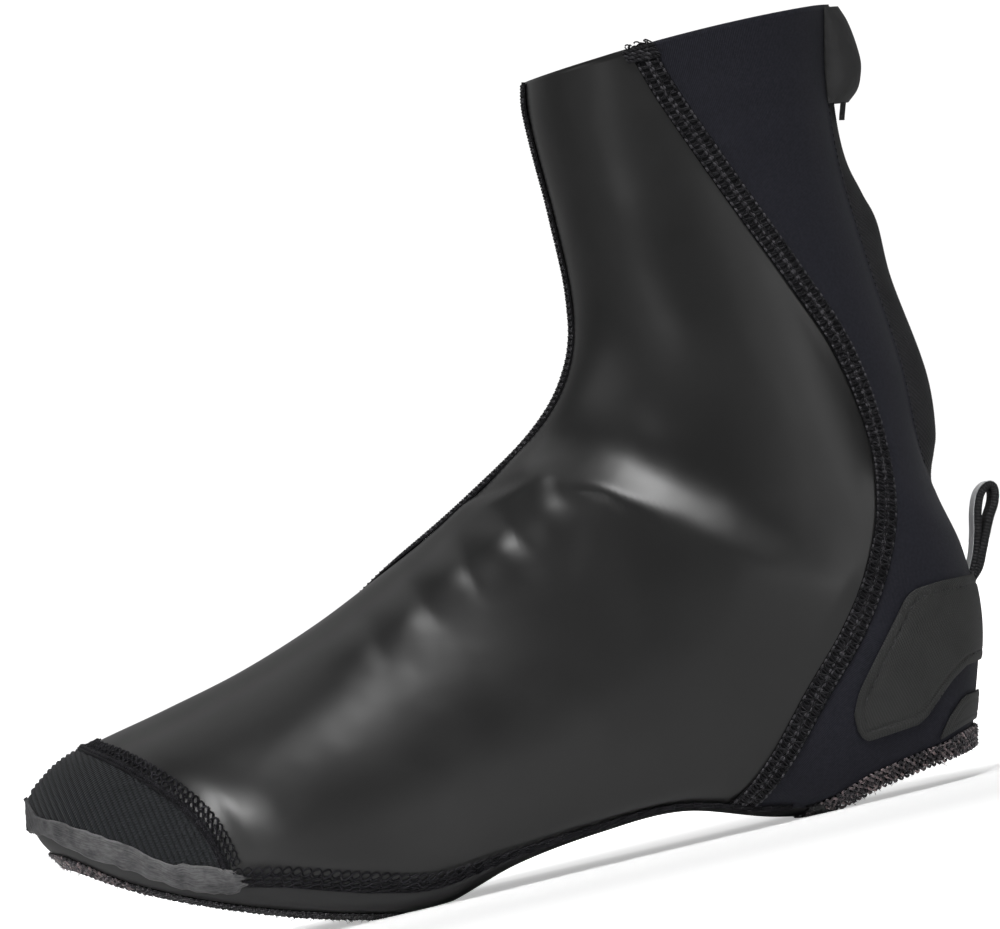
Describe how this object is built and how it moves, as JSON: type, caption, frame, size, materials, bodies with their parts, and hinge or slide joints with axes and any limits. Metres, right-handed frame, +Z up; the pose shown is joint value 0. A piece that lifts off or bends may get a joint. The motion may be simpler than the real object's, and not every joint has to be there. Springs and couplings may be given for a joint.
{
  "type": "cycling overshoe",
  "caption": "Hollow stretch overshoe for a road cycling shoe: tall collar, ribbed toe cap, open cleat and heel cut-outs underneath, rear zip under a hood and a heel pull loop.",
  "frame": {"origin": "on the floor, under the middle of the overshoe's box", "axes": "+X from the toe towards the heel, +Y towards the inner side of the foot, +Z up"},
  "size_m": [0.3066, 0.1022, 0.2361],
  "materials": {
    "shell": "coated stretch cloth, soft gloss",
    "sole": "coated cloth, satin",
    "ribbed": "ribbed knit, matte",
    "guard": "mottled grey tape, matte",
    "thread": "sewn thread, matte",
    "patch": "coated woven patch, satin",
    "webbing": "woven webbing, matte",
    "tape": "herringbone tape, matte",
    "chain": "moulded coil, satin",
    "metal": "painted, satin"
  },
  "bodies": {
    "root": {"upper": "shell", "sole_panel": "sole", "cleat_rim": "thread", "heel_rim": "thread", "toe_seam": "thread", "toe_cap": "ribbed", "toe_guard": "guard", "side_seam_outer": "thread", "side_seam_inner": "thread", "front_seam": "thread", "feather_seam_outer": "thread", "feather_seam_inner": "thread", "heel_patch": "patch", "heel_lower_patch": "patch", "zip_tape_outer": "tape", "zip_tape_inner": "tape", "zip_chain": "chain", "zip_slider": "metal", "zip_pull": "metal", "zip_garage": "patch", "pull_loop": "webbing"}
  },
  "joints": []
}
